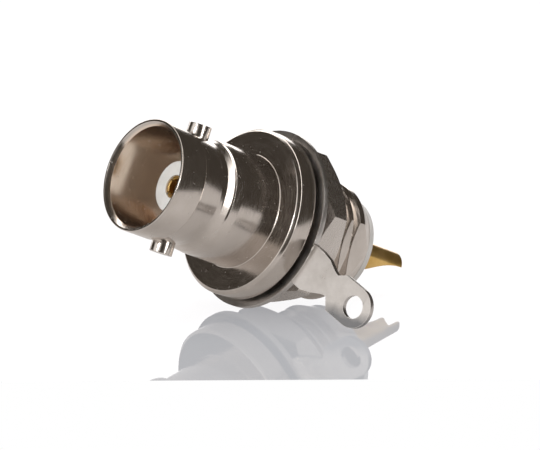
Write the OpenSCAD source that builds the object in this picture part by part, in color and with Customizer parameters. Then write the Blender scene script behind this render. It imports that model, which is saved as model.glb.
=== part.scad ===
// Panel-mount coaxial bayonet socket with a solder-cup centre contact,
// its ring solder tag and its fixing nut. Millimetres.
// The axis lies along Y with the mouth towards -Y and the two lugs upright on Z.
// The origin is the centre of the seat, the rear face of the flange.
// Every piece is drawn along z with the mouth upwards, then laid down by along_axis().

/* [Barrel] */
// outside radius at the mouth
barrel_r = 4.825; // [4.6:0.005:4.9]
// mouth rim to the seat
barrel_length = 13.0; // [12.7:0.05:13.4]
// how far the neck behind the lugs lies below the barrel
neck_drop = 0.325;
// radius of the collar in front of the flange
collar_r = 4.9; // [4.85:0.01:5.1]
// mouth rim to the start of the taper
rim_band = 2.68;
// mouth rim to the front end of the neck
taper_end = 4.97;
// mouth rim to the foot of the shoulder
neck_end = 6.15;
// mouth rim to the full collar radius
shoulder_end = 6.94;

/* [Mouth] */
// thickness of the barrel's wall at the mouth
mouth_wall = 0.525;
// depth of the lip's slope
lip_slope = 0.25;
// depth of the mouth bore
mouth_depth = 9.6; // [8:0.1:10]

/* [Flange] */
// flange radius
flange_r = 7.18; // [7.1:0.01:8]
// flange thickness
flange_thickness = 1.94; // [1.5:0.02:2.2]
// size of the flange's front chamfer
flange_chamfer = 0.27;

/* [Shank] */
// thread major radius
thread_r = 5.08;
// spacing of the thread's grooves
thread_pitch = 1.0;
// depth of the thread's grooves
thread_depth = 0.62;
// seat to the first crest
thread_start = 0.8;
// number of grooves
thread_grooves = 7;
// depth of the flat along the thread
flat_depth = 0.5; // [0.2:0.01:0.6]
// length of the cone at the shank's rear end
shank_cone = 1.4;
// radius of the shank's rear rim
shank_rim_r = 4.3;
// radius of the bore through the shell
core_r = 3.3;

/* [Lugs] */
// lug pin radius
lug_r = 0.975; // [0.9:0.005:1.0]
// axis to the lug tip
lug_reach = 5.6; // [5.3:0.05:5.7]
// mouth rim to the lug centre
lug_from_rim = 4.3;
// chamfer round the lug tip
lug_chamfer = 0.06;
// how far the pin is let into the wall
lug_root = 0.15;

/* [Front insulator] */
// nose radius
nose_r = 2.22; // [2.15:0.01:2.4]
// mouth rim to the nose face
nose_from_rim = 3.51;
// rear end of the front insulator behind the seat
front_insulator_end = 3.2;
// clearance between an insulator and the shell bore
insulator_clearance = 0.01;

/* [Rear insulator] */
// radius of the rear disc
disc_r = 4.25; // [4:0.05:4.3]
// thickness of the disc behind the shank
disc_thickness = 0.6; // [0.5:0.05:1.2]
// size of the chamfer round the disc
disc_round = 0.25;
// front end of the plug behind the seat
plug_start = 3.6;

/* [Contact] */
// socket outside radius
socket_r = 0.98; // [0.95:0.01:1.2]
// socket bore radius
socket_bore_r = 0.675;
// mouth rim to the socket face
socket_from_rim = 3.6;
// depth of the socket bore
socket_depth = 5.0;
// width of the slots across the socket
slot_width = 0.2;
// length of the slots
slot_length = 4.2;
// chamfer round the socket face
socket_chamfer = 0.12;
// clearance between the contact and the insulators
contact_clearance = 0.02;

/* [Solder cup] */
// cup outside radius
cup_r = 1.26; // [1.2:0.01:1.4]
// cup bore radius
cup_bore_r = 0.86;
// cup tip behind the seat
cup_end = 16.15; // [15.5:0.05:17]
// depth of the cup bore
cup_depth = 4.6;
// size of the chamfer round the cup tip
cup_round = 0.16;
// height of the scoop's edge above the axis at the tip
scoop_height = 0.14;
// radius of the scoop that opens the cup
scoop_r = 5.8;

/* [Solder tag] */
// how far the ring stands out beyond the flange
tag_proud = 0.48;
// thickness of the tag
tag_thickness = 0.48; // [0.4:0.02:0.6]
// gap between the seat and the tag
tag_gap = 0.46; // [0.44:0.02:2.2]
// running clearance of the tag on the thread
tag_clearance = 0.1;
// direction of the ear from +X
ear_angle = -22.4;
// rearward bend of the ear
ear_bend = 16.7; // [0:0.1:18]
// bend line to the hole centre
hole_from_bend = 6.2;
// radius of the hole in the ear
hole_r = 0.97;
// radius of the ear's round end
head_r = 1.75; // [1.7:0.01:2.0]
// half width of the ear beside the ring
neck_half = 1.95;
// half width of the waist
waist_half = 1.04;
// bend line to the narrowest place
waist_at = 3.42;
// sideways offset of the waist
waist_offset = 0.21;
// direction of the slit in the ring
slit_angle = 81;
// width of the slit
slit_width = 0.14;
// depth of the slit from the ring's edge
slit_depth = 0.55;

/* [Nut] */
// thread to the middle of the nut's flats
nut_wall = 1.02; // [0.9:0.02:2.2]
// nut thickness
nut_thickness = 2.45; // [2.3:0.05:3]
// gap between the tag and the nut
nut_gap = 1.14;
// running clearance of the nut on the thread
nut_clearance = 0.05;
// direction of one corner from +X
nut_turn = 15; // [0:0.5:60]
// width of the slope outside the nut's faces, up to the flats
nut_face_edge = 0.05;
// slope of the front corner chamfer
nut_front_slope = 24;
// slope of the rear corner chamfer
nut_rear_slope = 36;
// chamfer at both ends of the nut's bore
nut_bore_chamfer = 0.35;

/* [Hidden] */
$fn = 96;
e = 0.01;
neck_r = barrel_r - neck_drop;
mouth_r = barrel_r - mouth_wall;
lip_r = mouth_r + lip_slope * 0.8;
neck_front = barrel_length - taper_end;
neck_back = barrel_length - neck_end;
shoulder_back = barrel_length - shoulder_end;
mouth_floor = barrel_length - mouth_depth;
lug_z = barrel_length - lug_from_rim;
nose_z = barrel_length - nose_from_rim;
socket_z = barrel_length - socket_from_rim;
insulator_r = core_r - insulator_clearance;
sheath_r = socket_r + contact_clearance;
stem_r = cup_r + contact_clearance;
thread_root_r = thread_r - thread_depth;
shank_end = thread_start + thread_grooves * thread_pitch + shank_cone;
flat_distance = thread_r - flat_depth;
disc_end = shank_end + disc_thickness;
tag_r = flange_r + tag_proud;
bend_at = tag_r + 2 * e;
tag_front = -tag_gap;
tag_back = tag_front - tag_thickness;
tag_bore_r = thread_r + tag_clearance;
nut_front = tag_back - nut_gap;
nut_back = nut_front - nut_thickness;
nut_bore_r = thread_r + nut_clearance;
nut_flat_r = thread_r + nut_wall;
nut_corner_r = nut_flat_r / cos(30);
nut_face_r = nut_flat_r - nut_face_edge;
nut_rise = nut_corner_r - nut_face_r;
lug_wall_r = barrel_r - (barrel_r - neck_r) * (lug_from_rim - rim_band) / (taper_end - rim_band);
pin_foot = lug_wall_r - 2 * lug_root;
neck_lower = 0.9 * neck_half;
waist_upper = waist_half + waist_offset;
waist_lower = waist_half - waist_offset;

module along_axis() {
    rotate([90, 0, 0]) children();
}

// The outside of the shell as one turned profile, from the mouth to the rear end.
module shell_profile() {
    polygon([
        [0, barrel_length],
        [barrel_r, barrel_length],
        [barrel_r, barrel_length - rim_band],
        [neck_r, neck_front],
        [neck_r, neck_back],
        [neck_r + 0.32, neck_back - 0.14],
        [collar_r, shoulder_back],
        [collar_r, flange_thickness],
        [flange_r - flange_chamfer, flange_thickness],
        [flange_r, flange_thickness - flange_chamfer],
        [flange_r, 0],
        [thread_r, 0],
        // the thread as rings: a crest and a root for each groove, then the last crest
        for (turn = [0 : thread_grooves - 1]) each [
            [thread_r, -thread_start - turn * thread_pitch],
            [thread_root_r, -thread_start - (turn + 0.5) * thread_pitch]
        ],
        [thread_r, -thread_start - thread_grooves * thread_pitch],
        [shank_rim_r, -shank_end],
        [0, -shank_end]
    ]);
}

// Shell: barrel, collar, flange and shank turned from one bar.
module shell() {
    color("Silver")
    along_axis()
    difference() {
        rotate_extrude() shell_profile();
        // mouth with its sloped lip
        translate([0, 0, mouth_floor]) cylinder(r = mouth_r, h = mouth_depth + e);
        translate([0, 0, barrel_length - lip_slope])
            cylinder(r1 = mouth_r, r2 = lip_r, h = lip_slope + e);
        // bore for the insulators
        translate([0, 0, -shank_end - e]) cylinder(r = core_r, h = shank_end + mouth_floor + 2 * e);
        // flat along the thread
        translate([flat_distance, -thread_r, -shank_end - e])
            cube([thread_r, 2 * thread_r, shank_end + e]);
        // seats for the two lug pins
        for (turn = [90, 270])
            rotate([0, 0, turn]) translate([pin_foot, 0, lug_z]) rotate([0, 90, 0])
                cylinder(r = lug_r, h = lug_reach);
    }
}

// Bayonet lugs: two pins pressed into the barrel.
module bayonet_lugs() {
    color("Gainsboro")
    along_axis()
    for (turn = [90, 270])
        rotate([0, 0, turn]) translate([pin_foot, 0, lug_z]) rotate([0, 90, 0]) {
            cylinder(r = lug_r, h = lug_reach - pin_foot - lug_chamfer);
            translate([0, 0, lug_reach - pin_foot - lug_chamfer])
                cylinder(r1 = lug_r, r2 = lug_r - lug_chamfer, h = lug_chamfer);
        }
}

// Front insulator: the nose round the socket and the plug behind it.
module front_insulator() {
    color("White")
    along_axis()
    difference() {
        rotate_extrude() polygon([
            [0, nose_z],
            [nose_r, nose_z],
            [nose_r, mouth_floor],
            [insulator_r, mouth_floor],
            [insulator_r, -front_insulator_end],
            [0, -front_insulator_end]
        ]);
        translate([0, 0, -front_insulator_end - e])
            cylinder(r = sheath_r, h = nose_z + front_insulator_end + 2 * e);
    }
}

// Rear insulator: a plug in the shank with a disc over its end.
module rear_insulator() {
    color("WhiteSmoke")
    along_axis()
    difference() {
        rotate_extrude() polygon([
            [0, -plug_start],
            [insulator_r, -plug_start],
            [insulator_r, -shank_end],
            [disc_r, -shank_end],
            [disc_r, -disc_end + disc_round],
            [disc_r - disc_round, -disc_end],
            [0, -disc_end]
        ]);
        translate([0, 0, -disc_end - e]) cylinder(r = stem_r, h = disc_end);
    }
}

// Centre contact: slotted socket, stem and open solder cup in one piece.
module centre_contact() {
    color("Gold")
    along_axis()
    difference() {
        rotate_extrude() polygon([
            [0, socket_z],
            [socket_r - socket_chamfer, socket_z],
            [socket_r, socket_z - socket_chamfer],
            [socket_r, -plug_start],
            [cup_r, -plug_start],
            [cup_r, -cup_end + cup_round],
            [cup_r - cup_round, -cup_end],
            [0, -cup_end]
        ]);
        translate([0, 0, socket_z - socket_depth]) cylinder(r = socket_bore_r, h = socket_depth + e);
        for (turn = [45, 135])
            rotate([0, 0, turn]) translate([-2 * socket_r, -slot_width / 2, socket_z - slot_length])
                cube([4 * socket_r, slot_width, slot_length + e]);
        translate([0, 0, -cup_end - e]) cylinder(r = cup_bore_r, h = cup_depth + e);
        // a round scoop from below opens the cup
        translate([-2 * cup_r, scoop_height - scoop_r, -cup_end])
            rotate([0, 90, 0]) cylinder(r = scoop_r, h = 4 * cup_r);
    }
}

// The ear's outline in its own plane, with the bend line at zero.
module ear_outline() {
    polygon([
        [0, neck_half],
        [waist_at * 0.25, neck_half],
        [waist_at * 0.55, neck_half * 0.95],
        [waist_at * 0.77, waist_upper * 1.24],
        [waist_at * 0.96, waist_upper],
        [waist_at * 1.03, waist_upper],
        [waist_at * 1.19, head_r],
        [hole_from_bend, head_r],
        [hole_from_bend, -head_r],
        [waist_at * 1.22, -head_r],
        [waist_at * 0.97, -waist_lower],
        [waist_at * 0.85, -waist_lower * 1.24],
        [waist_at * 0.58, -neck_lower * 0.83],
        [waist_at * 0.31, -neck_lower * 0.94],
        [0, -neck_lower]
    ]);
}

// Solder tag: one stamped ring with a holed ear bent back.
module solder_tag() {
    color("LightSlateGray")
    along_axis()
    difference() {
        union() {
            translate([0, 0, tag_back]) cylinder(r = tag_r, h = tag_thickness);
            // the ear's flat root, out to the bend line
            rotate([0, 0, ear_angle]) translate([(tag_bore_r + tag_r) / 2, -neck_lower, tag_back])
                cube([bend_at - (tag_bore_r + tag_r) / 2, neck_half + neck_lower, tag_thickness]);
            rotate([0, 0, ear_angle]) translate([bend_at, 0, tag_front]) rotate([0, ear_bend, 0])
                difference() {
                    union() {
                        translate([0, 0, -tag_thickness])
                            linear_extrude(tag_thickness) ear_outline();
                        translate([hole_from_bend, 0, -tag_thickness])
                            cylinder(r = head_r, h = tag_thickness);
                    }
                    translate([hole_from_bend, 0, -tag_thickness - e])
                        cylinder(r = hole_r, h = tag_thickness + 2 * e);
                }
        }
        translate([0, 0, tag_back - e]) cylinder(r = tag_bore_r, h = tag_thickness + 2 * e);
        rotate([0, 0, slit_angle]) translate([tag_r - slit_depth, -slit_width / 2, tag_back - e])
            cube([2 * slit_depth, slit_width, tag_thickness + 2 * e]);
    }
}

// Hex nut: chamfered corners at both ends and a chamfered bore.
module hex_nut() {
    color("DarkGray")
    along_axis()
    difference() {
        intersection() {
            translate([0, 0, nut_back]) rotate([0, 0, nut_turn])
                cylinder(r = nut_corner_r, h = nut_thickness, $fn = 6);
            rotate_extrude() polygon([
                [0, nut_front],
                [nut_face_r, nut_front],
                [nut_corner_r + e, nut_front - (nut_rise + e) * tan(nut_front_slope)],
                [nut_corner_r + e, nut_back + (nut_rise + e) * tan(nut_rear_slope)],
                [nut_face_r, nut_back],
                [0, nut_back]
            ]);
        }
        translate([0, 0, nut_back - e]) cylinder(r = nut_bore_r, h = nut_thickness + 2 * e);
        translate([0, 0, nut_front - nut_bore_chamfer])
            cylinder(r1 = nut_bore_r, r2 = nut_bore_r + nut_bore_chamfer, h = nut_bore_chamfer + e);
        translate([0, 0, nut_back - e])
            cylinder(r1 = nut_bore_r + nut_bore_chamfer, r2 = nut_bore_r, h = nut_bore_chamfer);
    }
}

shell();
bayonet_lugs();
front_insulator();
centre_contact();
rear_insulator();
solder_tag();
hex_nut();
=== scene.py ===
# %% [markdown]
# # A panel socket with a bayonet mouth
# The part is a small coaxial socket: a nickel-plated shell with two bayonet lugs, white insulators,
# a gold centre contact that ends in an open solder cup, a ring solder tag and a hexagon nut.
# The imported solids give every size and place. Here each piece is modelled again with its thread,
# its rounded edges and its finish, and takes the place of its plain solid.

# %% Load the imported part
import math

import bpy
from mathutils import Matrix, Vector


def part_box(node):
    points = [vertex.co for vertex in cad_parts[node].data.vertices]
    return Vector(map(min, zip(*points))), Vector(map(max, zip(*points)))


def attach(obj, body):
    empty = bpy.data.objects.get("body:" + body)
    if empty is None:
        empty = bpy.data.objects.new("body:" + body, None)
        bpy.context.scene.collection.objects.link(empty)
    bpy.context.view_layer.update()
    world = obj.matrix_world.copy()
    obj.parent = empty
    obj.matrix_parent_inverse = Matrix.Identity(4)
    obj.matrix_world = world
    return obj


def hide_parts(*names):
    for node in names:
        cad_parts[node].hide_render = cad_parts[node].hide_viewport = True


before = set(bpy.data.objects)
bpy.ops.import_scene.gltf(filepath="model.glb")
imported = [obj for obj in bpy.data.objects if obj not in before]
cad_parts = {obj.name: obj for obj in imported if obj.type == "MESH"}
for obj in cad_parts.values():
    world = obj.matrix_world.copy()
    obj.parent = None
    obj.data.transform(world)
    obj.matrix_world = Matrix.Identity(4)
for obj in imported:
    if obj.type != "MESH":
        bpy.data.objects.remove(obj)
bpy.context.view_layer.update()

# %% [markdown]
# Everything is turned about one axis, which lies along Y with the mouth towards -Y.
# The origin is the centre of the flange's rear face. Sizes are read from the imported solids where
# a box can give them, so that a change there is followed here.

# %% Sizes in metres
MM = 0.001
shell_low, shell_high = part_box("shell")
tag_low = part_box("solder_tag")[0]
nut_low, nut_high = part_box("hex_nut")
nose_low, nose_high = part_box("front_insulator")
disc_low, disc_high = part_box("rear_insulator")
contact_low, contact_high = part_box("centre_contact")
lugs_low, lugs_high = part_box("bayonet_lugs")

mouth_y = shell_low[1]
shank_end_y = shell_high[1]
flange_r = shell_high[2]
barrel_r = 4.825 * MM
neck_r = 4.5 * MM
collar_r = 4.9 * MM
thread_r = 5.08 * MM
thread_depth = 0.62 * MM
first_groove_y = 0.7 * MM
pitch = 1.0 * MM
flat_x = 4.58 * MM
core_r = 3.3 * MM
plug_r = core_r - 0.01 * MM
mouth_r = 4.3 * MM
mouth_floor_y = mouth_y + 9.6 * MM
print("mouth at", round(mouth_y / MM, 2), "mm, shank ends at", round(shank_end_y / MM, 2), "mm")

# %% [markdown]
# ## Rounded corners
# Most of the part is turned, and a turned piece is a profile spun once round the axis. Each corner
# of a profile gets the small radius that a turning tool or a tumbling barrel leaves, because a
# sharp edge never catches the light. It could be bevelled afterwards, but then every edge
# would need picking out, and here each radius is written beside its corner.

# %% Round the corners of a profile
def rounded(corners, steps=4):
    """Corners are (radius from the axis, y, edge radius), in order round a closed profile."""
    points = []
    count = len(corners)
    for i, (r, y, edge) in enumerate(corners):
        here = Vector((r, y))
        if edge <= 0:
            points.append(here)
            continue
        before = Vector(corners[i - 1][:2]) - here
        after = Vector(corners[(i + 1) % count][:2]) - here
        half = before.angle(after) / 2
        reach = min(edge / math.tan(half), 0.45 * before.length, 0.45 * after.length)
        start = here + before.normalized() * reach
        end = here + after.normalized() * reach
        for k in range(steps + 1):
            f = k / steps
            points.append(start * (1 - f) ** 2 + here * 2 * f * (1 - f) + end * f ** 2)
    return points


# %% [markdown]
# ## Small tools for one piece at a time
# An operator works on all that is selected, so each of these helpers selects its piece first.
# Cuts are booleans between closed solids, as a mill and a drill would make them.

# %% Select nothing, then work on one piece
same_place = 1e-7
nearly_same = 1e-6


def select_only(piece):
    bpy.ops.object.select_all(action="DESELECT")
    piece.select_set(True)
    bpy.context.view_layer.objects.active = piece


def settle(piece):
    """Puts the piece's place, turn and scale into its mesh."""
    select_only(piece)
    bpy.ops.object.transform_apply(location=True, rotation=True, scale=True)
    return piece


def outward(piece, merge=same_place):
    """Joins points that are in the same place and turns every face outwards."""
    select_only(piece)
    bpy.ops.object.mode_set(mode="EDIT")
    bpy.ops.mesh.select_all(action="SELECT")
    bpy.ops.mesh.remove_doubles(threshold=merge)
    bpy.ops.mesh.normals_make_consistent(inside=False)
    bpy.ops.object.mode_set(mode="OBJECT")
    return piece


def apply_modifier(piece, kind, **settings):
    """Adds one modifier with its settings and applies it."""
    select_only(piece)
    modifier = piece.modifiers.new(kind.lower(), kind)
    for key, value in settings.items():
        setattr(modifier, key, value)
    bpy.ops.object.modifier_apply(modifier=modifier.name)
    return piece


def cut(piece, tool, operation="DIFFERENCE"):
    """Cuts the piece with a tool solid, or joins or keeps what they share, and removes the tool."""
    apply_modifier(piece, "BOOLEAN", operation=operation, object=tool, solver="EXACT")
    bpy.data.objects.remove(tool, do_unlink=True)
    return piece


def smooth(piece, angle=35):
    """Smooths the shading; the weighted normals keep the flats flat right up to their edges."""
    select_only(piece)
    bpy.ops.object.shade_smooth_by_angle(angle=math.radians(angle))
    apply_modifier(piece, "WEIGHTED_NORMAL", weight=100, keep_sharp=True)
    return piece


# %% [markdown]
# ## Turning
# The profile is drawn as a maker would: a single vertex is extruded from corner to corner, and
# the closed line is spun once round the axis. A spin gives even rows of faces, which shade
# better on bright metal than a stack of cylinders joined by booleans.

# %% Draw a profile and spin it round the axis
def start_vertex(name, place):
    """A new piece of one vertex at a place, left in edit mode to be extruded."""
    bpy.ops.object.select_all(action="DESELECT")
    bpy.ops.mesh.primitive_plane_add(size=MM, location=(0, 0, 0))
    piece = bpy.context.object
    piece.name = name
    bpy.ops.object.mode_set(mode="EDIT")
    bpy.ops.mesh.select_all(action="SELECT")
    bpy.ops.mesh.merge(type="CENTER")
    bpy.ops.mesh.select_all(action="SELECT")
    bpy.ops.transform.translate(value=place)
    return piece


def draw_profile(name, points):
    """Extrudes one vertex from point to point in the plane x = 0, with the radius along z."""
    here = points[0]
    piece = start_vertex(name, (0, here[1], here[0]))
    for stop in points[1:] + points[:1]:
        step = (0, stop[1] - here[1], stop[0] - here[0])
        bpy.ops.mesh.extrude_vertices_move(TRANSFORM_OT_translate={"value": step})
        here = stop
    bpy.ops.mesh.select_all(action="SELECT")
    bpy.ops.mesh.remove_doubles(threshold=same_place)
    bpy.ops.object.mode_set(mode="OBJECT")
    return piece


def turned(name, corners, segments=160):
    """Spins a closed profile once round the Y axis into a solid."""
    piece = draw_profile(name, rounded(corners))
    bpy.ops.object.mode_set(mode="EDIT")
    bpy.ops.mesh.select_all(action="SELECT")
    bpy.ops.mesh.spin(steps=segments, angle=math.tau, center=(0, 0, 0), axis=(0, 1, 0))
    bpy.ops.object.mode_set(mode="OBJECT")
    outward(piece)
    print(name, "has", len(piece.data.polygons), "faces")
    return piece


# %% Stock and cutters
along_axis = (math.pi / 2, 0, 0)


def rod(radius, length, middle, turn=(0, 0, 0), vertices=96):
    """A plain round bar; unturned, it stands along Z."""
    bpy.ops.object.select_all(action="DESELECT")
    bpy.ops.mesh.primitive_cylinder_add(vertices=vertices, radius=radius, depth=length,
                                        location=middle, rotation=turn)
    return settle(bpy.context.object)


def bar(radius, start, end, vertices):
    """A plain bar on the part's axis, from one place on it to another."""
    return rod(radius, end - start, (0, (start + end) / 2, 0), along_axis, vertices)


def block(low, high):
    """A plain block between two corners, used as a milling cutter."""
    bpy.ops.object.select_all(action="DESELECT")
    low, high = Vector(low), Vector(high)
    bpy.ops.mesh.primitive_cube_add(size=1, location=(low + high) / 2)
    piece = bpy.context.object
    piece.scale = high - low
    return settle(piece)


# %% [markdown]
# ## The shell
# One bar of brass is turned into barrel, neck, collar, flange and shank, then plated.
# The barrel tapers gently behind its plain band down to the neck, and a rounded shoulder leads
# up to the collar. The rim is a narrow bright edge because the mouth is bored out to a thin wall.

# %% Turn the shell
def turn_shell():
    rim_band = mouth_y + 2.68 * MM
    neck_front = mouth_y + 4.97 * MM
    neck_back = mouth_y + 6.15 * MM
    shoulder = mouth_y + 6.94 * MM
    flange_front = -1.94 * MM
    relief_r = thread_r - thread_depth
    fine = 0.05 * MM
    return turned("shell_body", [
        (4.62 * MM, mouth_y, 0.03 * MM),
        (barrel_r, mouth_y, 0.1 * MM),
        (barrel_r, rim_band, 0.04 * MM),
        (barrel_r - 0.04 * MM, rim_band + 0.05 * MM, 0.03 * MM),
        (neck_r, neck_front, 0.8 * MM),
        (neck_r, neck_back - 0.75 * MM, 0.6 * MM),
        (neck_r + 0.22 * MM, neck_back - 0.12 * MM, 0.3 * MM),
        (neck_r + 0.31 * MM, neck_back + 0.03 * MM, 0.05 * MM),
        (collar_r, shoulder, 0.9 * MM),
        (collar_r, flange_front, 0.08 * MM),
        (6.91 * MM, flange_front, 0.16 * MM),
        (flange_r, flange_front + 0.27 * MM, 0.16 * MM),
        (flange_r, 0, 0.12 * MM),
        (relief_r, 0, fine),
        (relief_r, 0.2 * MM, fine),
        (thread_r, 0.5 * MM, 0),
        (thread_r, shank_end_y - 1.4 * MM, 0.2 * MM),
        (4.3 * MM, shank_end_y, fine),
        (core_r, shank_end_y, 0),
        (core_r, mouth_floor_y, 0),
        (mouth_r, mouth_floor_y, 0.1 * MM),
        (mouth_r, mouth_y + 0.36 * MM, fine),
    ])


shell_body = turn_shell()

# %% [markdown]
# ## The thread
# The thread is cut the way a lathe cuts it: a V-shaped tool is swept along a helix, here with the
# Screw modifier, and taken out of the shank. The flat is milled last, as on the real part, so the
# grooves run out on it in fine dark lines.

# %% Cut the thread and mill the flat
def thread_tool():
    turns = 7
    over = 0.12 * MM
    root_half = 0.05 * MM
    half = root_half + (thread_depth + over) * math.tan(math.radians(30))
    root = thread_r - thread_depth
    crest = thread_r + over
    tool = draw_profile("thread_tool", [
        Vector((root, first_groove_y - root_half)), Vector((root, first_groove_y + root_half)),
        Vector((crest, first_groove_y + half)), Vector((crest, first_groove_y - half))])
    apply_modifier(tool, "SCREW", axis="Y", angle=math.tau, screw_offset=pitch,
                   iterations=turns, steps=96, render_steps=96, use_merge_vertices=True)
    bpy.ops.object.mode_set(mode="EDIT")
    bpy.ops.mesh.select_all(action="SELECT")
    bpy.ops.mesh.remove_doubles(threshold=same_place)
    bpy.ops.mesh.select_all(action="DESELECT")
    bpy.ops.mesh.select_mode(type="EDGE")
    bpy.ops.mesh.select_non_manifold()
    bpy.ops.mesh.fill()
    bpy.ops.mesh.select_mode(type="VERT")
    bpy.ops.object.mode_set(mode="OBJECT")
    return outward(tool)


cut(shell_body, thread_tool())
cut(shell_body, block((flat_x, 0, -flange_r), (2 * flange_r, shank_end_y + MM, flange_r)))
smooth(shell_body, 30)
print("threaded shell:", len(shell_body.data.polygons), "faces")

# %% [markdown]
# ## The bayonet lugs
# Two short pins stand out of the barrel, one above and one below. Their ends are chamfered
# so that the plug's ring slides over them. Each is a length of rod with the edge of its end
# bevelled, and the edge is picked out by its height, so both pins can share one loop.

# %% Press in the lugs
def make_lugs():
    radius = (lugs_high[0] - lugs_low[0]) / 2
    centre_y = (lugs_low[1] + lugs_high[1]) / 2
    reach = lugs_high[2]
    foot = mouth_r
    pins = []
    for side in (1, -1):
        pin = rod(radius, reach - foot, (0, centre_y, side * (reach + foot) / 2), vertices=64)
        for edge in pin.data.edges:
            ends = [pin.data.vertices[i].co.z * side for i in edge.vertices]
            edge.select = min(ends) > reach - nearly_same
        bpy.ops.object.mode_set(mode="EDIT")
        bpy.ops.mesh.select_mode(type="EDGE")
        bpy.ops.mesh.bevel(offset=0.06 * MM, segments=2, profile=0.5)
        bpy.ops.object.mode_set(mode="OBJECT")
        pins.append(pin)
    bpy.ops.object.select_all(action="DESELECT")
    for pin in pins:
        pin.select_set(True)
    bpy.context.view_layer.objects.active = pins[0]
    bpy.ops.object.join()
    pins[0].name = "lug_pins"
    print("lug_pins stand", round(reach / MM, 2), "mm from the axis")
    return smooth(pins[0], 40)


lug_pins = make_lugs()

# %% [markdown]
# ## The insulators
# Both are turned from white plastic. The front one shows as a small nose round the socket,
# deep in the mouth, and the rear one as a disc with a soft edge behind the shank. Plastic parts
# have larger radii than the metal ones, and that is what tells them apart at this size.

# %% Turn the insulators
def turn_front_insulator():
    nose_face = nose_low[1]
    end = nose_high[1]
    nose_r = 2.22 * MM
    bore = 1.0 * MM
    return smooth(turned("nose_insulator", [
        (bore, nose_face, 0.05 * MM),
        (nose_r, nose_face, 0.12 * MM),
        (nose_r, mouth_floor_y, 0),
        (plug_r, mouth_floor_y, 0),
        (plug_r, end, 0),
        (bore, end, 0)], segments=96))


def turn_rear_insulator():
    disc_r = disc_high[2]
    bore = 1.28 * MM
    return smooth(turned("disc_insulator", [
        (bore, disc_low[1], 0),
        (plug_r, disc_low[1], 0),
        (plug_r, shank_end_y, 0),
        (disc_r, shank_end_y, 0.05 * MM),
        (disc_r, disc_high[1], 0.25 * MM),
        (bore, disc_high[1], 0.04 * MM)], segments=120))


nose_insulator = turn_front_insulator()
disc_insulator = turn_rear_insulator()

# %% [markdown]
# ## The centre contact
# The front is a socket split by two crossed slots, so that its four fingers grip the plug's pin.
# The rear is a cup with its lower side cut away in a scoop: the wire is laid in and soldered.
# Slots and scoop are cut with a saw block and a wide rod, and the edges that the cuts leave are
# bevelled last, all at once.

# %% Make the centre contact
def make_contact():
    front = contact_low[1]
    tip = contact_high[1]
    cup_r = contact_high[2]
    cup_bore_r = 0.86 * MM
    socket_r = 0.98 * MM
    step_y = 3.6 * MM
    pin_bore_r = 0.675 * MM
    pin_floor = front + 5.0 * MM
    contact = turned("gold_contact", [
        (0, pin_floor, 0),
        (pin_bore_r, pin_floor, 0),
        (pin_bore_r, front, 0.1 * MM),
        (socket_r, front, 0.14 * MM),
        (socket_r, step_y, 0),
        (cup_r, step_y, 0),
        (cup_r, tip, 0.16 * MM),
        (cup_bore_r, tip, 0.06 * MM),
        (cup_bore_r, tip - 4.6 * MM, 0.3 * MM),
        (0, tip - 4.3 * MM, 0)], segments=96)
    slot = 0.1 * MM
    for turn in (45, 135):
        slit = block((-2 * socket_r, front - MM, -slot), (2 * socket_r, front + 4.2 * MM, slot))
        slit.rotation_euler = (0, math.radians(turn), 0)
        cut(contact, settle(slit))
    scoop_top = 0.14 * MM
    scoop_r = 5.8 * MM
    cut(contact, rod(scoop_r, 4 * cup_r, (0, tip, scoop_top - scoop_r),
                     turn=(0, math.pi / 2, 0), vertices=256))
    apply_modifier(contact, "BEVEL", width=0.04 * MM, segments=2, limit_method="ANGLE",
                   angle_limit=math.radians(50))
    return smooth(contact, 40)


gold_contact = make_contact()

# %% [markdown]
# ## The solder tag: its ear
# The tag is stamped from thin tinned sheet: a ring with one ear. The ear is bent back a little
# where it leaves the ring. It could be cut from flat sheet and bent, but a bend needs a window,
# so its outline is drawn by pushing one edge outwards station by station, each as wide as the
# ear is there. So the bend can follow an arc, the head can be round, and the sheet gets
# its thickness afterwards.

# %% The ear's outline
tag_front = tag_low[1]
tag_thickness = 0.48 * MM
ring_r = 7.66 * MM
bend_at = 7.68 * MM
bend = math.radians(16.7)
bend_length = 0.8 * MM
hole_from_bend = 6.2 * MM
head_r = 1.75 * MM
ear_turn = math.radians(-22.4)
ear_stations = [
    # distance from the bend, half width and sideways shift, all in millimetres
    (-2.0, 1.9, 0.1), (0.95, 1.9, 0.1), (1.95, 1.62, 0.2), (2.75, 1.22, 0.21),
    (3.15, 1.06, 0.21), (3.42, 1.04, 0.21), (4.12, 1.75, 0), (9.0, 1.75, 0)]


def ear_width(u):
    """Half width of the ear and its sideways shift at a distance u from the bend line."""
    if u > hole_from_bend:
        return math.sqrt(max(head_r ** 2 - (u - hole_from_bend) ** 2, 0)), 0
    u_mm = u / MM
    for (u0, w0, s0), (u1, w1, s1) in zip(ear_stations, ear_stations[1:]):
        if u0 <= u_mm <= u1:
            f = (u_mm - u0) / (u1 - u0)
            return (w0 + (w1 - w0) * f) * MM, (s0 + (s1 - s0) * f) * MM


def ear_place(u):
    """Where the ear's front face is at a distance u from the bend line: outwards and back."""
    start = -bend_length / 2
    if u <= start:
        return bend_at + u, 0.0
    angle = bend * min((u - start) / bend_length, 1)
    radius = bend_length / bend
    out = bend_at + start + radius * math.sin(angle)
    back = radius * (1 - math.cos(angle))
    rest = max(u - start - bend_length, 0)
    return out + rest * math.cos(bend), back + rest * math.sin(bend)


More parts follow.
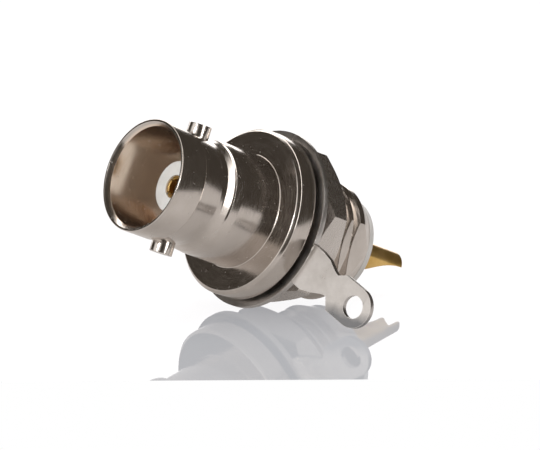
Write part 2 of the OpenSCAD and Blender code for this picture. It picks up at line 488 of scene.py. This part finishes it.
# %% Push the ear out of one edge
def make_ear():
    steps = [-1.6, -0.4, -0.2, 0, 0.2, 0.4, 0.95, 1.3, 1.6, 1.95, 2.35, 2.75, 2.95, 3.15, 3.42,
             3.6, 4.12, 4.65]
    stations = [s * MM for s in steps]
    stations += [hole_from_bend + head_r * math.sin(math.radians(a)) for a in range(0, 90, 5)]
    stations.append(hole_from_bend + head_r * 0.9995)
    half, shift = ear_width(stations[0])
    out, back = ear_place(stations[0])
    ear = start_vertex("ear", (out, tag_front + back, shift - half))
    bpy.ops.mesh.extrude_vertices_move(TRANSFORM_OT_translate={"value": (0, 0, 2 * half)})
    bpy.ops.mesh.select_mode(type="EDGE")
    bpy.ops.mesh.select_all(action="SELECT")
    for u in stations[1:]:
        new_half, new_shift = ear_width(u)
        new_out, new_back = ear_place(u)
        step = (new_out - out, new_back - back, new_shift - shift)
        bpy.ops.mesh.extrude_region_move(TRANSFORM_OT_translate={"value": step})
        bpy.ops.transform.resize(value=(1, 1, new_half / half),
                                 center_override=(new_out, tag_front + new_back, new_shift))
        half, shift, out, back = new_half, new_shift, new_out, new_back
    bpy.ops.mesh.select_mode(type="VERT")
    bpy.ops.mesh.select_all(action="SELECT")
    bpy.ops.mesh.normals_make_consistent(inside=False)
    bpy.ops.object.mode_set(mode="OBJECT")
    if ear.data.polygons[0].normal.y > 0:
        ear.data.flip_normals()
    apply_modifier(ear, "SOLIDIFY", thickness=tag_thickness, offset=-1)
    outward(ear)
    out, back = ear_place(hole_from_bend)
    cut(ear, rod(0.97 * MM, 4 * MM, (out, tag_front + back, 0),
                 turn=(math.pi / 2, 0, bend), vertices=72))
    ear.rotation_euler = (0, -ear_turn, 0)
    print("the ear reaches", round((out + head_r) / MM, 1), "mm from the axis")
    return settle(ear)


# %% [markdown]
# ## The solder tag: ring and ear together
# The ear is joined to a plain disc, and the bore is drilled through both. A stamped edge is
# rounded by the die, so every edge gets a small bevel once the faces that the cuts split
# are whole again. The locating slit is sawn last, and stays sharp.

# %% Stamp the tag
def make_tag():
    front, back = tag_front, tag_front + tag_thickness
    bore = 5.18 * MM
    slit_half = 0.09 * MM
    ear = make_ear()
    ring = bar(ring_r, front, back, vertices=192)
    ring.name = "tinned_tag"
    cut(ring, ear, "UNION")
    cut(ring, bar(bore, front - MM, front + 2 * MM, vertices=144))
    outward(ring, nearly_same)
    bpy.ops.object.mode_set(mode="EDIT")
    bpy.ops.mesh.select_all(action="SELECT")
    bpy.ops.mesh.dissolve_limited(angle_limit=math.radians(0.3))
    bpy.ops.object.mode_set(mode="OBJECT")
    apply_modifier(ring, "BEVEL", width=0.11 * MM, segments=4, limit_method="ANGLE",
                   angle_limit=math.radians(50))
    slit = block((ring_r - 0.55 * MM, front - MM, -slit_half),
                 (ring_r + MM, front + 2 * MM, slit_half))
    slit.rotation_euler = (0, -math.radians(81), 0)
    cut(ring, settle(slit))
    print("tinned_tag has", len(ring.data.polygons), "faces")
    return smooth(outward(ring, nearly_same), 30)


tinned_tag = make_tag()

# %% [markdown]
# ## The hexagon nut
# A six-sided bar is given its corner chamfers by keeping only what it shares with a turned
# blank. That leaves the curved edges that every hexagon nut shows on its flats, which a bevel
# on the bar's own edges would not. The blank also brings the bore and its countersinks.

# %% Cut the nut
def make_nut():
    front, back = nut_low[1], nut_high[1]
    flats = 12.2 * MM
    bore = thread_r + 0.05 * MM
    corner_r = flats / math.sqrt(3)
    turn = math.radians(15)
    face_r = 6.05 * MM
    front_rise = (corner_r - face_r) * math.tan(math.radians(24))
    back_rise = (corner_r - face_r) * math.tan(math.radians(36))
    over = 0.02 * MM
    sink = 0.35 * MM
    nut = bar(corner_r, front, back, vertices=6)
    nut.name = "nickel_nut"
    first_corner = nut.data.vertices[0].co
    nut.rotation_euler = (0, math.atan2(first_corner.z, first_corner.x) - turn, 0)
    settle(nut)
    apply_modifier(nut, "BEVEL", width=0.1 * MM, segments=3, limit_method="ANGLE",
                   angle_limit=math.radians(50))
    blank = turned("nut_blank", [
        (bore, front + sink, 0),
        (bore + sink, front, 0.04 * MM),
        (face_r, front, 0.04 * MM),
        (corner_r + over, front + front_rise + over, 0),
        (corner_r + over, back - back_rise - over, 0),
        (face_r, back, 0.04 * MM),
        (bore + sink, back, 0.04 * MM),
        (bore, back - sink, 0)], segments=180)
    cut(nut, blank, "INTERSECT")
    print("nickel_nut is", round((back - front) / MM, 2), "mm thick")
    return smooth(outward(nut, nearly_same), 25)


nickel_nut = make_nut()

# %% [markdown]
# ## Finishes
# Every finish is built from small nodes on Object coordinates, so it stays on the piece when the
# piece moves. Turned metal carries fine rings round the axis: the rings read the distance from
# the axis and the place along it, and a noise of those two numbers gives lines that run round.

# %% Start a material, add a node, join two nodes
def new_material(name):
    material = bpy.data.materials.new(name)
    material.use_nodes = True
    tree = material.node_tree
    shader = tree.nodes["Principled BSDF"]
    return material, tree, shader


def add(tree, kind, **values):
    """A new node; a value goes to the input of that name, or else to the node's own setting."""
    node = tree.nodes.new(kind)
    for key, value in values.items():
        if key in node.inputs:
            node.inputs[key].default_value = value
        else:
            setattr(node, key.lower(), value)
    return node


def join(tree, source, target):
    tree.links.new(source, target)


# %% Where a point is on a turned piece
def ring_coordinates(tree):
    """The place itself, and then its distance from the axis, its y and a little of its angle."""
    angle_share = 0.6 * MM
    coordinates = add(tree, "ShaderNodeTexCoord")
    split = add(tree, "ShaderNodeSeparateXYZ")
    join(tree, coordinates.outputs["Object"], split.inputs[0])
    flat = add(tree, "ShaderNodeCombineXYZ")
    join(tree, split.outputs["X"], flat.inputs["X"])
    join(tree, split.outputs["Z"], flat.inputs["Z"])
    length = add(tree, "ShaderNodeVectorMath", operation="LENGTH")
    join(tree, flat.outputs[0], length.inputs[0])
    angle = add(tree, "ShaderNodeMath", operation="ARCTAN2")
    join(tree, split.outputs["Z"], angle.inputs[0])
    join(tree, split.outputs["X"], angle.inputs[1])
    soft_angle = add(tree, "ShaderNodeMath", operation="MULTIPLY")
    join(tree, angle.outputs[0], soft_angle.inputs[0])
    soft_angle.inputs[1].default_value = angle_share
    rings = add(tree, "ShaderNodeCombineXYZ")
    join(tree, length.outputs["Value"], rings.inputs["X"])
    join(tree, split.outputs["Y"], rings.inputs["Y"])
    join(tree, soft_angle.outputs[0], rings.inputs["Z"])
    return coordinates.outputs["Object"], rings.outputs[0]


# %% Noise, ranges, sums and colours
def noise(tree, vector, per_mm, detail=3.0, roughness=0.5):
    node = add(tree, "ShaderNodeTexNoise", Detail=detail, Roughness=roughness)
    node.inputs["Scale"].default_value = per_mm / MM
    join(tree, vector, node.inputs["Vector"])
    return node.outputs["Fac"]


def remap(tree, value, low, high, start=0.0, end=1.0):
    """Gives low where the value is at the start, high where it is at the end."""
    node = add(tree, "ShaderNodeMapRange")
    node.inputs["From Min"].default_value = start
    node.inputs["From Max"].default_value = end
    node.inputs["To Min"].default_value = low
    node.inputs["To Max"].default_value = high
    join(tree, value, node.inputs["Value"])
    return node.outputs["Result"]


def combine(tree, operation, one, two):
    """Sums two values, or multiplies or subtracts them; each is a node's output or a number."""
    node = add(tree, "ShaderNodeMath", operation=operation)
    for i, value in enumerate((one, two)):
        if isinstance(value, float):
            node.inputs[i].default_value = value
        else:
            join(tree, value, node.inputs[i])
    return node.outputs[0]


def blend_colours(tree, factor, one, two):
    """Blends two plain colours."""
    node = add(tree, "ShaderNodeMix")
    node.data_type = "RGBA"
    node.inputs["A"].default_value = (*one, 1)
    node.inputs["B"].default_value = (*two, 1)
    join(tree, factor, node.inputs["Factor"])
    return node.outputs["Result"]


def mix_colour(tree, factor, one, two):
    """Blends a colour that is already worked out into a plain one."""
    node = add(tree, "ShaderNodeMix")
    node.data_type = "RGBA"
    join(tree, one, node.inputs["A"])
    node.inputs["B"].default_value = (*two, 1)
    join(tree, factor, node.inputs["Factor"])
    return node.outputs["Result"]


def patchy(tree, pattern, low, high):
    """A value that wanders between two with a noise, whose middle range is used."""
    return remap(tree, pattern, low, high, 0.3, 0.7)


# %% Relief, and edges with wear and a painted highlight
def bump(tree, shader, height, depth):
    node = add(tree, "ShaderNodeBump", Strength=1.0)
    node.inputs["Distance"].default_value = depth
    join(tree, height, node.inputs["Height"])
    join(tree, node.outputs[0], shader.inputs["Normal"])


def edge_highlight_and_wear(tree, reach=0.05 * MM):
    """One along edges, which are worn and painted paler as a highlight, and nothing on the flats."""
    softened = add(tree, "ShaderNodeBevel")
    softened.inputs["Radius"].default_value = reach
    geometry = add(tree, "ShaderNodeNewGeometry")
    dot = add(tree, "ShaderNodeVectorMath", operation="DOT_PRODUCT")
    join(tree, softened.outputs[0], dot.inputs[0])
    join(tree, geometry.outputs["Normal"], dot.inputs[1])
    return remap(tree, dot.outputs["Value"], 1, 0, 0.93, 0.995)


# %% [markdown]
# ### Turned nickel
# Nickel plate over turned brass is warm grey and bright, but not a clean mirror: it keeps the
# tool's rings, gathers pits that scatter the light, and wears on its edges, where a paler colour
# also stands as a painted highlight. So the rings drive the roughness as well as the relief, and
# the edges are found by comparing the true direction of the surface with one that is softened
# over them.

# %% Nickel plate, turned
def turned_nickel(name, light, dark, rough_low, rough_high, ring_depth, bored=False):
    """Turned and plated metal: rings, tiny pits, uneven patches, and worn edges with a painted
    highlight.
    """
    material, tree, shader = new_material(name)
    place, rings = ring_coordinates(tree)
    patches = noise(tree, place, 0.35, 4.0)
    colour = blend_colours(tree, remap(tree, patches, 0, 1, 0.35, 0.65), dark, light)
    fine_rings = noise(tree, rings, 9.0, 2.0)
    roughness = patchy(tree, fine_rings, rough_low, rough_high)
    pits = remap(tree, noise(tree, place, 2.8, 2.0), 0, 1, 0.69, 0.76)
    roughness = combine(tree, "ADD", roughness, combine(tree, "MULTIPLY", pits, 0.15))
    # paler edges: partly wear, partly a painted highlight along every edge
    highlit_and_worn = edge_highlight_and_wear(tree)
    colour = mix_colour(tree, highlit_and_worn, colour, (0.86, 0.82, 0.78))
    roughness = combine(tree, "SUBTRACT", roughness, combine(tree, "MULTIPLY", highlit_and_worn, 0.06))
    if bored:
        # the mouth's wall is warmer and a little rougher than the outside
        split = add(tree, "ShaderNodeSeparateXYZ")
        join(tree, rings, split.inputs[0])
        near_axis = remap(tree, split.outputs["X"], 1, 0, 4.35 * MM, 4.5 * MM)
        in_front = remap(tree, split.outputs["Y"], 1, 0, -4.0 * MM, -3.0 * MM)
        inside = combine(tree, "MULTIPLY", near_axis, in_front)
        colour = mix_colour(tree, inside, colour, (0.88, 0.74, 0.62))
        roughness = combine(tree, "ADD", roughness, combine(tree, "MULTIPLY", inside, 0.02))
    shader.inputs["Metallic"].default_value = 1.0
    join(tree, colour, shader.inputs["Base Color"])
    join(tree, roughness, shader.inputs["Roughness"])
    wave_height = 0.02 * MM
    waves = combine(tree, "MULTIPLY", noise(tree, place, 0.45, 1.0), wave_height / ring_depth)
    height = combine(tree, "SUBTRACT", combine(tree, "ADD", fine_rings, waves),
                     combine(tree, "MULTIPLY", pits, 2.0))
    bump(tree, shader, height, ring_depth)
    return material


bright_nickel = turned_nickel("bright_nickel", (0.66, 0.605, 0.56), (0.58, 0.53, 0.485),
                              0.13, 0.24, 0.0015 * MM, bored=True)
satin_nickel = turned_nickel("satin_nickel", (0.64, 0.595, 0.56), (0.55, 0.51, 0.475),
                             0.22, 0.34, 0.003 * MM)
print("turned finishes:", bright_nickel.name, satin_nickel.name)

# %% [markdown]
# ### Dull tin
# The tag is dipped in tin for soldering. Tin is softer and greyer than nickel, cloudy where it
# ran, with faint lines along the ear from the sheet's rolling. Painted shade darkens the lower
# side of the ear's outer end.
# The lines are a noise stretched along the ear, so its pattern is turned as the ear is.

# %% Dull tin plate
def dull_tin():
    """Dipped sheet: soft clouds, rolling lines along the ear, and painted shade at its lower outer
    end.
    """
    material, tree, shader = new_material("dull_tin")
    place = add(tree, "ShaderNodeTexCoord").outputs["Object"]
    split = add(tree, "ShaderNodeSeparateXYZ")
    join(tree, place, split.inputs[0])
    clouds = noise(tree, place, 0.5, 5.0, 0.6)
    grain = noise(tree, place, 6.0, 3.0, 0.6)
    colour = blend_colours(tree, remap(tree, clouds, 0, 1, 0.35, 0.65),
                           (0.50, 0.47, 0.445), (0.63, 0.60, 0.575))
    # painted shade: a dark patch with a ragged edge on the lower side of the ear's outer end
    ragged = combine(tree, "ADD", split.outputs["Z"], combine(tree, "MULTIPLY", clouds, 1.6 * MM))
    low_enough = remap(tree, ragged, 1, 0, -5.6 * MM, -4.4 * MM)
    far_enough = remap(tree, split.outputs["X"], 0, 1, 8.5 * MM, 10.5 * MM)
    painted_shade = combine(tree, "MULTIPLY", low_enough, far_enough)
    colour = mix_colour(tree, combine(tree, "MULTIPLY", painted_shade, 0.85), colour, (0.15, 0.155, 0.165))
    # paler edges: partly wear, partly a painted highlight along every edge
    highlit_and_worn = edge_highlight_and_wear(tree)
    colour = mix_colour(tree, highlit_and_worn, colour, (0.80, 0.78, 0.75))
    join(tree, colour, shader.inputs["Base Color"])
    roughness = combine(tree, "SUBTRACT", patchy(tree, clouds, 0.26, 0.38),
                        combine(tree, "MULTIPLY", highlit_and_worn, 0.14))
    join(tree, roughness, shader.inputs["Roughness"])
    shader.inputs["Metallic"].default_value = 1.0
    brushed = add(tree, "ShaderNodeMapping")
    brushed.inputs["Rotation"].default_value = (0, ear_turn, 0)
    brushed.inputs["Scale"].default_value = (0.12, 1, 1)
    join(tree, place, brushed.inputs["Vector"])
    lines = noise(tree, brushed.outputs[0], 4.0, 3.0, 0.6)
    bump(tree, shader, combine(tree, "ADD", grain, lines), 0.006 * MM)
    return material


tin_finish = dull_tin()

# %% [markdown]
# ### Satin gold
# The contact is gold plated for its low resistance. The plate is thin and keeps the turned rings
# of the brass below it, so its colour wanders a little and it shines softly.

# %% Gold plate
def satin_gold():
    material, tree, shader = new_material("satin_gold")
    place, rings = ring_coordinates(tree)
    patches = noise(tree, place, 0.6, 4.0)
    join(tree, blend_colours(tree, remap(tree, patches, 0, 1, 0.35, 0.65),
                             (0.66, 0.42, 0.13), (0.88, 0.60, 0.23)), shader.inputs["Base Color"])
    fine_rings = noise(tree, rings, 10.0, 2.0)
    join(tree, patchy(tree, fine_rings, 0.28, 0.40), shader.inputs["Roughness"])
    shader.inputs["Metallic"].default_value = 1.0
    bump(tree, shader, fine_rings, 0.004 * MM)
    return material


gold_finish = satin_gold()

# %% [markdown]
# ### Waxy white
# The insulators are a waxy white plastic with a soft sheen and hardly any grain. The rear one gets
# a darker copy of the same finish, which is painted shade.

# %% White plastic
def waxy_white(name, light, dark):
    material, tree, shader = new_material(name)
    place = add(tree, "ShaderNodeTexCoord").outputs["Object"]
    clouds = noise(tree, place, 0.8, 4.0)
    join(tree, blend_colours(tree, remap(tree, clouds, 0, 1, 0.35, 0.65), dark, light),
         shader.inputs["Base Color"])
    join(tree, patchy(tree, clouds, 0.42, 0.55), shader.inputs["Roughness"])
    bump(tree, shader, noise(tree, place, 5.0, 2.0), 0.004 * MM)
    return material


white_finish = waxy_white("waxy_white", (0.90, 0.895, 0.87), (0.82, 0.81, 0.78))
# painted shade: the rear insulator gets a darker copy of the same white
shaded_white = waxy_white("shaded_white", (0.60, 0.58, 0.555), (0.50, 0.48, 0.455))

# %% [markdown]
# ## Dressing
# Each piece now gets its finish, rides on the body that moves it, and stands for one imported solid.
# The tag and the nut ride on bodies of their own, because they slide along the shank.

# %% Give each piece its finish, its body and the solid it stands for
dressing = [
    (shell_body, "shell", "connector", "nickel", bright_nickel),
    (lug_pins, "bayonet_lugs", "connector", "nickel", bright_nickel),
    (nose_insulator, "front_insulator", "connector", "white_plastic", white_finish),
    (disc_insulator, "rear_insulator", "connector", "white_plastic", shaded_white),
    (gold_contact, "centre_contact", "connector", "gold", gold_finish),
    (tinned_tag, "solder_tag", "tag", "tin", tin_finish),
    (nickel_nut, "hex_nut", "nut", "nut_nickel", satin_nickel),
]
for piece, node_name, body, slot, finish in dressing:
    piece.data.materials.clear()
    piece.data.materials.append(finish)
    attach(piece, body)
    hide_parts(node_name)
    print(piece.name, "rides on", body, "and stands for", node_name)

# %% [markdown]
# ## Where the eye is
# The eye looks down on the mouth from the front and a little to one side, from far off with a long
# lens, so the rings hardly taper. The table slopes in the part's own frame, because the part
# lies on its tag's ring and ear. These directions come first, as the table's edge and
# the card behind it are placed by them.

# %% The eye's directions and the table's
up = Vector((0.0012, -0.3413, 0.94)).normalized()
view_forward = Vector((-0.763465, 0.643239, 0.058006)).normalized()
view_right = Vector((0.628128, 0.71862, 0.298396)).normalized()
camera_up = view_right.cross(view_forward)
mirrored_view = view_forward - 2 * view_forward.dot(up) * up
print("the eye looks", round(math.degrees(math.asin(-view_forward.dot(up))), 1),
      "degrees down on the table")

# %% [markdown]
# ## The table
# The part lies on a white glossy plate that ends a little in front of it, and so does the
# reflection in it. A gloss laid over a matt white would grey in the part's shadow, so part of its
# white is a steady glow. The metal mirrors a plainer plate, half matt and half glowing, so that
# no mirror looks into another. From below the plate is clear, which leaves the views
# from behind open.

# %% Lay one shader over another, or choose between two
def lay_over(tree, one, two):
    node = add(tree, "ShaderNodeAddShader")
    join(tree, one.outputs[0], node.inputs[0])
    join(tree, two.outputs[0], node.inputs[1])
    return node


def choose(tree, factor, at_zero, at_one):
    node = add(tree, "ShaderNodeMixShader")
    join(tree, factor, node.inputs[0])
    join(tree, at_zero.outputs[0], node.inputs[1])
    join(tree, at_one.outputs[0], node.inputs[2])
    return node


# %% The table's finish
def glossy_table():
    material, tree, shader = new_material("white_table")
    tree.nodes.remove(shader)
    body = add(tree, "ShaderNodeBsdfDiffuse", Color=(0.12, 0.12, 0.12, 1))
    haze = add(tree, "ShaderNodeEmission", Color=(0.31, 0.315, 0.335, 1), Strength=1.0)
    polish = add(tree, "ShaderNodeBsdfGlossy", Color=(0.25, 0.25, 0.25, 1), Roughness=0.02)
    to_the_eye = lay_over(tree, lay_over(tree, body, haze), polish)
    matt = add(tree, "ShaderNodeBsdfDiffuse", Color=(0.38, 0.366, 0.357, 1))
    glow = add(tree, "ShaderNodeEmission", Color=(0.26, 0.25, 0.243, 1), Strength=1.0)
    light_path = add(tree, "ShaderNodeLightPath")
    above = choose(tree, light_path.outputs["Is Camera Ray"], lay_over(tree, matt, glow),
                   to_the_eye)
    geometry = add(tree, "ShaderNodeNewGeometry")
    clear = add(tree, "ShaderNodeBsdfTransparent")
    plate = choose(tree, geometry.outputs["Backfacing"], above, clear)
    join(tree, plate.outputs[0], tree.nodes["Material Output"].inputs["Surface"])
    return material


# %% Lay the table under the part
def make_table():
    size = 2.0
    drop = 7.74 * MM
    edge = 31.0 * MM
    bpy.ops.object.select_all(action="DESELECT")
    bpy.ops.mesh.primitive_plane_add(size=size)
    table = bpy.context.object
    table.name = "table"
    across = camera_up.cross(up).normalized()
    away = up.cross(across)
    turn = Matrix((across, away, up)).transposed().to_4x4()
    middle = -up * drop + away * (size / 2 - edge)
    table.matrix_world = Matrix.Translation(middle) @ turn
    table.data.materials.append(glossy_table())
    print("table", round(drop / MM, 2), "mm below the origin, ends", round(edge / MM),
          "mm in front of it")


make_table()

# %% [markdown]
# ## The surroundings
# Bright metal shows its room more than itself, so the room is what models it. To the eye the room
# is white. In the metal it is dark, with three lights: a card where the table mirrors the eye's
# view, which whitens the table; an arch across the part, which draws the bright lines along its
# edges and fillets; and a pale front, which lights the faces that look that way.

# %% The surroundings
def make_world():
    card_strength, card_inner, card_outer = 2.4, math.radians(11), math.radians(16)
    arch_strength, arch_inner, arch_outer = 3.5, 0.12, 0.2
    front_strength, front_inner, front_outer = 1.0, -0.88, -0.79
    world = bpy.data.worlds.new("studio")
    bpy.context.scene.world = world
    world.use_nodes = True
    tree = world.node_tree
    tree.nodes.clear()
    output = add(tree, "ShaderNodeOutputWorld")
    direction = add(tree, "ShaderNodeTexCoord").outputs["Generated"]
    dot = add(tree, "ShaderNodeVectorMath", operation="DOT_PRODUCT")
    dot.inputs[1].default_value = mirrored_view
    join(tree, direction, dot.inputs[0])
    split = add(tree, "ShaderNodeSeparateXYZ")
    join(tree, direction, split.inputs[0])
    card = remap(tree, dot.outputs["Value"], 0, card_strength, math.cos(card_outer),
                 math.cos(card_inner))
    sideways = combine(tree, "ABSOLUTE", split.outputs["Y"], 0.0)
    arch = combine(tree, "MULTIPLY",
                   remap(tree, sideways, arch_strength, 0, arch_inner, arch_outer),
                   remap(tree, split.outputs["Z"], 0.3, 1, 0.0, 0.35))
    front = remap(tree, split.outputs["Y"], front_strength, 0, front_inner, front_outer)
    strength = combine(tree, "ADD", combine(tree, "ADD", card, arch), front)
    dark = add(tree, "ShaderNodeBackground", Color=(0.055, 0.046, 0.037, 1), Strength=1.0)
    bright = add(tree, "ShaderNodeBackground", Color=(1, 0.98, 0.96, 1))
    join(tree, strength, bright.inputs["Strength"])
    in_metal = lay_over(tree, dark, bright)
    to_the_eye = add(tree, "ShaderNodeBackground", Color=(1, 1, 1, 1), Strength=1.0)
    on_matt = add(tree, "ShaderNodeBackground", Color=(1, 1, 1, 1), Strength=0.75)
    light_path = add(tree, "ShaderNodeLightPath")
    unseen = choose(tree, light_path.outputs["Is Glossy Ray"], on_matt, in_metal)
    room = choose(tree, light_path.outputs["Is Camera Ray"], unseen, to_the_eye)
    join(tree, room.outputs[0], output.inputs["Surface"])


make_world()

# %% [markdown]
# ## The lamps
# Four softboxes add to the room. The overhead one gives the soft shadow, and it and the front one
# aren't mirrored, because a square highlight would give them away. The last two are small and
# mirrored: one shines into the mouth, and one runs a streak along the side.

# %% The lamps
def softbox(name, place, size, power, mirrored):
    """A soft lamp that points at the part; its place and size are in metres, its power in watts."""
    lamp_data = bpy.data.lights.new(name, "AREA")
    lamp_data.shape = "RECTANGLE"
    lamp_data.size, lamp_data.size_y = size
    lamp_data.energy = power
    lamp = bpy.data.objects.new(name, lamp_data)
    bpy.context.scene.collection.objects.link(lamp)
    lamp.location = place
    lamp.rotation_euler = (-Vector(place)).to_track_quat("-Z", "Y").to_euler()
    lamp.visible_glossy = mirrored
    print(name, "lamp of", power, "W")


softbox("overhead", (-0.06, -0.06, 0.34), (0.30, 0.30), 0.6, mirrored=False)
softbox("front", (-0.10, -0.29, -0.03), (0.12, 0.12), 0.07, mirrored=False)
softbox("mouth", (0.06, -0.30, 0.02), (0.06, 0.06), 0.17, mirrored=True)
softbox("side", (0.28, 0.0, 0.03), (0.06, 0.10), 0.08, mirrored=True)

# %% [markdown]
# ## The camera
# It stands half a metre off with a long lens, so that near and far rings keep almost the same
# size. Its turn is built from the eye's directions above.

# %% The camera
def make_camera():
    data = bpy.data.cameras.new("camera")
    data.sensor_width = 36
    data.lens = 400
    data.clip_start = 0.005
    camera = bpy.data.objects.new("camera", data)
    bpy.context.scene.collection.objects.link(camera)
    turn = Matrix((view_right, camera_up, -view_forward)).transposed()
    camera.matrix_world = Matrix.Translation((0.384459, -0.32221, -0.029446)) @ turn.to_4x4()
    bpy.context.scene.camera = camera
    print("camera", round(camera.matrix_world.translation.length, 3), "m from the origin")


make_camera()
bpy.context.scene.view_settings.view_transform = "Standard"
